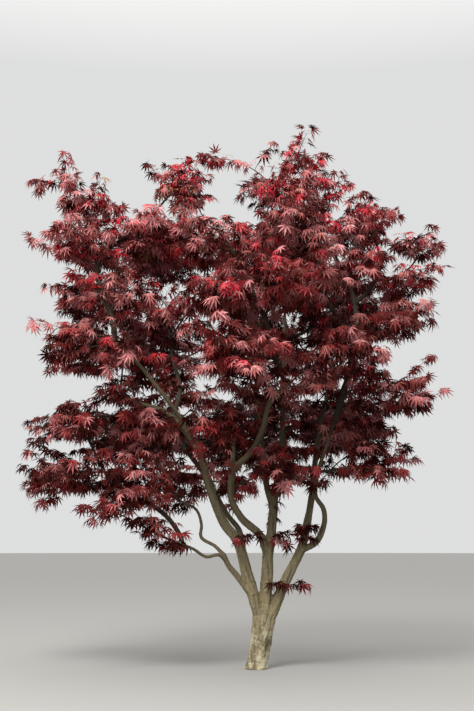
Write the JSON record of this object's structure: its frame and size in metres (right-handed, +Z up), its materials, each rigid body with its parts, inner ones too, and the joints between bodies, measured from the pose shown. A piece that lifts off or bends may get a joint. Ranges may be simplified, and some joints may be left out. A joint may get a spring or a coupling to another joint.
{
  "type": "japanese maple tree",
  "caption": "Whole red-leaved garden maple: a short leaning trunk with a root flare, main limbs that fork low, and a wide layered crown of separate leaf masses.",
  "frame": {"origin": "centre of the flat cut under the trunk, at ground level", "axes": "+Z up the tree, +X to the right as the tree is seen from its front, -Y towards the front"},
  "size_m": [2.635, 2.092, 3.21],
  "materials": {
    "bark": "smooth grey-brown bark with pale lichen low on the trunk",
    "leaves": "satin deep red-purple leaves, brighter crimson at the top of the crown"
  },
  "bodies": {
    "root": {"trunk": "bark", "left_main": "bark", "centre_main": "bark", "right_main": "bark", "left_low": "bark", "left_low_outer": "bark", "left_low_upper": "bark", "left_inner": "bark", "left_front": "bark", "centre_left": "bark", "centre_left_fork": "bark", "centre_back": "bark", "right_outer": "bark", "upper_left_1": "leaves", "upper_left_2": "leaves", "mid_left_1": "leaves", "mid_left_2": "leaves", "left_spire_1": "leaves", "left_spire_2": "leaves", "left_top": "leaves", "heart_left_1": "leaves", "heart_left_2": "leaves", "heart_left_3": "leaves", "centre_spire_1": "leaves", "centre_spire_2": "leaves", "centre_top": "leaves", "centre_front_1": "leaves", "centre_front_2": "leaves", "right_arm_1": "leaves", "right_arm_2": "leaves", "right_edge_1": "leaves", "right_edge_2": "leaves", "right_edge_3": "leaves", "right_low_1": "leaves", "right_low_2": "leaves", "right_shelf": "leaves", "centre_low_1": "leaves", "centre_low_2": "leaves", "heart_low_1": "leaves", "heart_low_2": "leaves", "low_left_1": "leaves", "low_left_2": "leaves", "low_left_3": "leaves", "low_left_edge_1": "leaves", "low_left_edge_2": "leaves", "low_inner": "leaves", "low_spray_1": "leaves", "low_spray_2": "leaves", "back_left_1": "leaves", "back_left_2": "leaves", "back_left_3": "leaves", "back_centre_1": "leaves", "back_centre_2": "leaves", "back_centre_3": "leaves", "back_right_1": "leaves", "back_right_2": "leaves", "tuft_left": "leaves", "tuft_right": "leaves", "tuft_fork": "leaves"}
  },
  "joints": []
}
